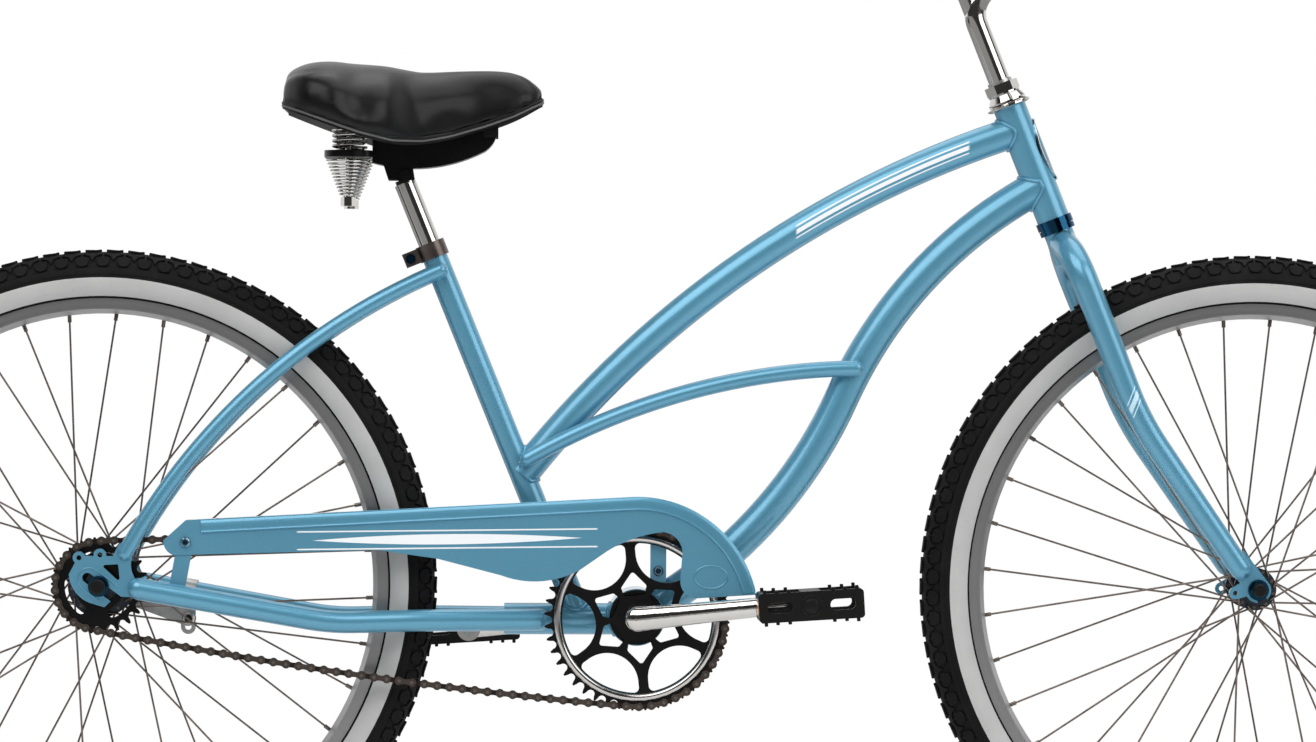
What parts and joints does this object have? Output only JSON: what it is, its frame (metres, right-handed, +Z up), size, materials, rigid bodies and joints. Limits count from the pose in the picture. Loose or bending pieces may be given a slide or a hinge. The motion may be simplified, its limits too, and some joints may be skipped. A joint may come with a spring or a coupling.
{
  "type": "beach cruiser bicycle",
  "caption": "Low-frame beach cruiser bicycle with balloon tyres, a coaster brake, a chain guard and a wide sprung saddle; it steers, rolls and pedals.",
  "frame": {"origin": "on the ground midway between the axles, in the middle plane", "axes": "+X forward, +Y to the rider's left, +Z up"},
  "size_m": [1.833, 0.7018, 1.065],
  "materials": {
    "frame_paint": "gloss metallic",
    "badge_metal": "polished",
    "chromed_steel": "polished",
    "plain_steel": "satin",
    "hub_alloy": "satin",
    "rim_alloy": "brushed",
    "black_metal": "satin",
    "tyre_rubber": "matte",
    "tube_rubber": "matte",
    "black_plastic": "matte",
    "grip_rubber": "matte",
    "saddle_vinyl": "gloss"
  },
  "bodies": {
    "frame": {"head_tube": "frame_paint", "top_tube": "frame_paint", "down_tube": "frame_paint", "seat_tube": "frame_paint", "bottom_bracket_shell": "frame_paint", "mid_tubes": "frame_paint", "chain_stay_yoke": "frame_paint", "chain_stays": "frame_paint", "seat_stays": "frame_paint", "rear_dropouts": "frame_paint", "head_badge": "badge_metal", "headset_cups": "chromed_steel", "bottom_bracket_cups": "chromed_steel", "ball_bearings": "plain_steel", "seat_clamp": "frame_paint", "frame_bolts": "plain_steel", "chain_guard": "frame_paint", "chain_guard_brackets": "frame_paint", "brake_arm": "plain_steel", "brake_arm_clip": "plain_steel", "rear_axle": "plain_steel", "rear_axle_nuts": "plain_steel", "chain": "black_metal"},
    "fork": {"fork_steerer": "frame_paint", "fork_blades": "frame_paint", "fork_dropouts": "frame_paint", "headset_hardware": "chromed_steel", "front_axle": "plain_steel", "front_axle_nuts": "plain_steel", "front_hub_bearings": "plain_steel"},
    "front_wheel": {"front_tyre": "tyre_rubber", "front_inner_tube": "tube_rubber", "front_rim": "rim_alloy", "front_spokes": "plain_steel", "front_hub_shell": "hub_alloy"},
    "rear_wheel": {"rear_tyre": "tyre_rubber", "rear_inner_tube": "tube_rubber", "rear_rim": "rim_alloy", "rear_spokes": "plain_steel", "rear_hub_shell": "hub_alloy"},
    "driver": {"rear_sprocket": "black_metal", "hub_driver": "plain_steel"},
    "crankset": {"crank": "chromed_steel", "chainring": "black_metal", "crank_cones": "chromed_steel", "pedal_axles": "plain_steel"},
    "right_pedal": {"right_pedal": "black_plastic"},
    "left_pedal": {"left_pedal": "black_plastic"},
    "stem": {"stem": "chromed_steel", "stem_expander": "chromed_steel"},
    "handlebar": {"handlebar": "chromed_steel", "grips": "grip_rubber"},
    "seat_post": {"seat_post": "chromed_steel", "saddle_clamp": "black_metal"},
    "saddle_frame": {"saddle_frame": "black_metal", "saddle_springs": "chromed_steel", "saddle_rebound_springs": "chromed_steel"},
    "saddle_top": {"saddle_base": "black_plastic", "saddle_cover": "saddle_vinyl", "saddle_spring_bolts": "chromed_steel"}
  },
  "joints": [
    {"name": "steering", "type": "hinge", "parent": "frame", "child": "fork", "pos_m": [0.37742, 0, 0.70899], "axis": [-0.3697, 0, 0.9291], "range_deg": [-90, 90]},
    {"name": "front_wheel_spin", "type": "hinge", "parent": "fork", "child": "front_wheel", "pos_m": [0.58, 0, 0.3365], "axis": [0, 1, 0], "continuous": true},
    {"name": "rear_wheel_spin", "type": "hinge", "parent": "frame", "child": "rear_wheel", "pos_m": [-0.58, 0, 0.3365], "axis": [0, 1, 0], "continuous": true},
    {"name": "crank_spin", "type": "hinge", "parent": "frame", "child": "crankset", "pos_m": [-0.0431, 0, 0.3059], "axis": [0, 1, 0], "continuous": true, "deforming": ["chain"]},
    {"name": "sprocket_spin", "type": "hinge", "parent": "frame", "child": "driver", "pos_m": [-0.58, 0, 0.3365], "axis": [0, 1, 0], "continuous": true, "deforming": ["chain"]},
    {"name": "right_pedal_spin", "type": "hinge", "parent": "crankset", "child": "right_pedal", "pos_m": [0.12597, -0.119, 0.32367], "axis": [0, 1, 0], "continuous": true},
    {"name": "left_pedal_spin", "type": "hinge", "parent": "crankset", "child": "left_pedal", "pos_m": [-0.21217, 0.119, 0.28813], "axis": [0, 1, 0], "continuous": true},
    {"name": "stem_height", "type": "slide", "parent": "fork", "child": "stem", "axis": [-0.3697, 0, 0.9291], "range_m": [-0.045, 0.02]},
    {"name": "handlebar_tilt", "type": "hinge", "parent": "stem", "child": "handlebar", "pos_m": [0.34138, 0, 0.96013], "axis": [0, 1, 0], "range_deg": [-20, 20]},
    {"name": "seat_height", "type": "slide", "parent": "frame", "child": "seat_post", "axis": [-0.3778, 0, 0.9259], "range_m": [-0.025, 0.13]},
    {"name": "saddle_tilt", "type": "hinge", "parent": "seat_post", "child": "saddle_frame", "pos_m": [-0.27762, 0, 0.74904], "axis": [0, 1, 0], "range_deg": [-10, 10]},
    {"name": "saddle_bounce", "type": "hinge", "parent": "saddle_frame", "child": "saddle_top", "pos_m": [-0.19162, 0, 0.79464], "axis": [0, -1, 0], "range_deg": [0, 3], "stiffness_Nm_per_rad": 1500, "springref_deg": -0.11, "deforming": ["saddle_springs", "saddle_rebound_springs"]}
  ],
  "couplings": [
    {"joint": "sprocket_spin", "follows": "crank_spin", "ratio": 2}
  ]
}
